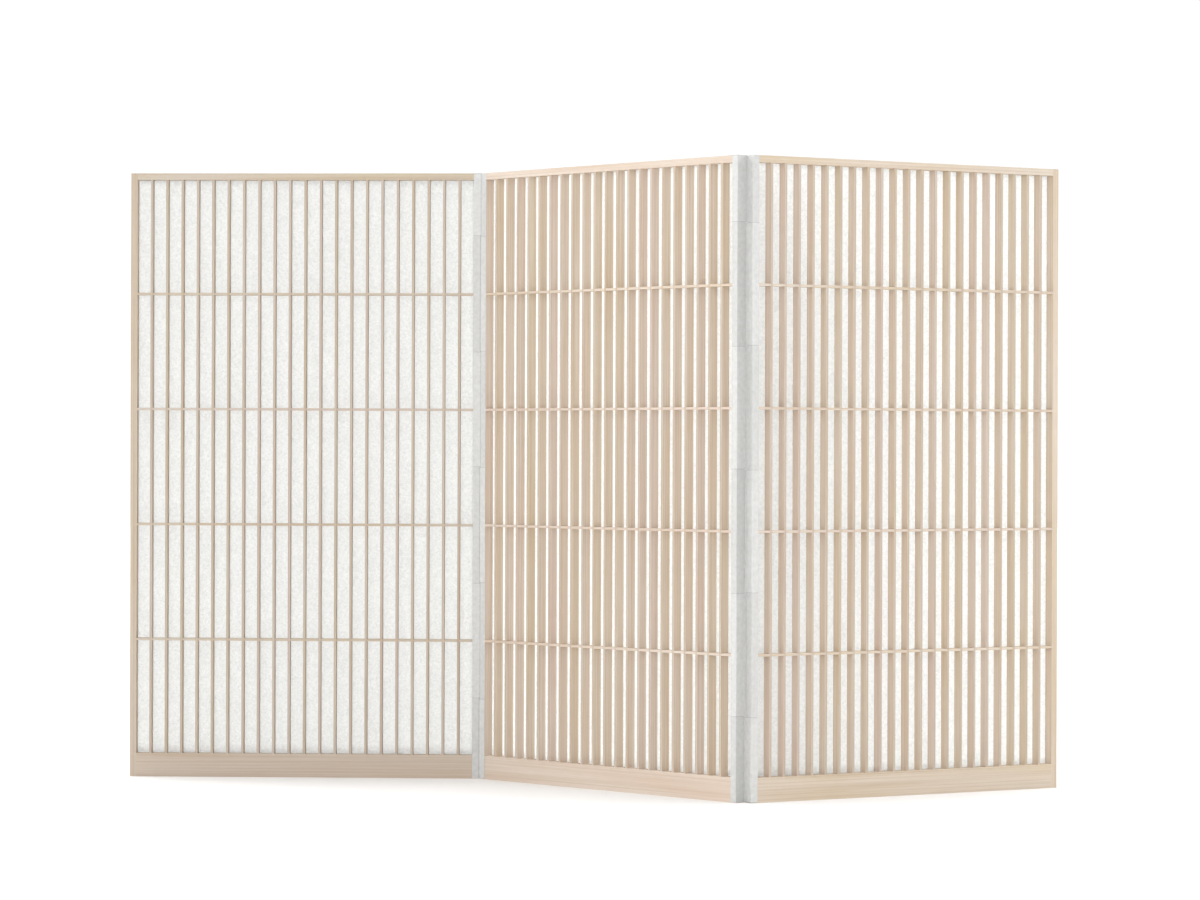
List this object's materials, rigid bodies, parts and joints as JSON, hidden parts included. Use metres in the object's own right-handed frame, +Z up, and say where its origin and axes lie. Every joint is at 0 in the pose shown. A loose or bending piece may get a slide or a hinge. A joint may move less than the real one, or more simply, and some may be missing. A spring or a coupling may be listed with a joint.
{
  "type": "folding shoji screen",
  "caption": "Free-standing folding shoji screen: lattice panels with white paper behind, joined by paper hinges and standing in a zigzag.",
  "frame": {"origin": "on the floor, under the middle of the whole screen's box as it stands", "axes": "+Z up, front of the screen towards -Y, longest side of the box along X"},
  "size_m": [2.3546, 0.7152, 1.55],
  "materials": {
    "frame_wood": "planed, unfinished pale softwood",
    "slat_wood": "planed, unfinished pale softwood, varied from slat to slat",
    "washi": "matt, fibrous, translucent",
    "hinge_paper": "matt, cloth-backed"
  },
  "bodies": {
    "centre_panel": {"centre_left_stile": "frame_wood", "centre_right_stile": "frame_wood", "centre_top_rail": "frame_wood", "centre_bottom_rail": "frame_wood", "centre_upright_slats": "slat_wood", "centre_cross_slat_1": "slat_wood", "centre_cross_slat_2": "slat_wood", "centre_cross_slat_3": "slat_wood", "centre_cross_slat_4": "slat_wood", "centre_paper": "washi", "centre_left_wrap": "hinge_paper", "centre_right_wrap": "hinge_paper", "left_hinge_strip_1": "hinge_paper", "left_hinge_strip_3": "hinge_paper", "left_hinge_strip_5": "hinge_paper", "right_hinge_strip_1": "hinge_paper", "right_hinge_strip_3": "hinge_paper", "right_hinge_strip_5": "hinge_paper"},
    "left_panel": {"left_outer_stile": "frame_wood", "left_hinge_stile": "frame_wood", "left_top_rail": "frame_wood", "left_bottom_rail": "frame_wood", "left_upright_slats": "slat_wood", "left_cross_slat_1": "slat_wood", "left_cross_slat_2": "slat_wood", "left_cross_slat_3": "slat_wood", "left_cross_slat_4": "slat_wood", "left_paper": "washi", "left_stile_wrap": "hinge_paper", "left_hinge_strip_2": "hinge_paper", "left_hinge_strip_4": "hinge_paper", "left_hinge_strip_6": "hinge_paper"},
    "right_panel": {"right_hinge_stile": "frame_wood", "right_outer_stile": "frame_wood", "right_top_rail": "frame_wood", "right_bottom_rail": "frame_wood", "right_upright_slats": "slat_wood", "right_cross_slat_1": "slat_wood", "right_cross_slat_2": "slat_wood", "right_cross_slat_3": "slat_wood", "right_cross_slat_4": "slat_wood", "right_paper": "washi", "right_stile_wrap": "hinge_paper", "right_hinge_strip_2": "hinge_paper", "right_hinge_strip_4": "hinge_paper", "right_hinge_strip_6": "hinge_paper"}
  },
  "joints": [
    {"name": "left_fold", "type": "hinge", "parent": "centre_panel", "child": "left_panel", "pos_m": [-0.27672, 0.28935, 0.775], "axis": [0, 0, 1], "range_deg": [-42.9, 137.1], "deforming": ["left_hinge_strip_1", "left_hinge_strip_2", "left_hinge_strip_3", "left_hinge_strip_4", "left_hinge_strip_5", "left_hinge_strip_6"]},
    {"name": "right_fold", "type": "hinge", "parent": "centre_panel", "child": "right_panel", "pos_m": [0.37868, -0.33255, 0.775], "axis": [0, 0, 1], "range_deg": [-74.9, 105.1], "deforming": ["right_hinge_strip_1", "right_hinge_strip_2", "right_hinge_strip_3", "right_hinge_strip_4", "right_hinge_strip_5", "right_hinge_strip_6"]}
  ]
}
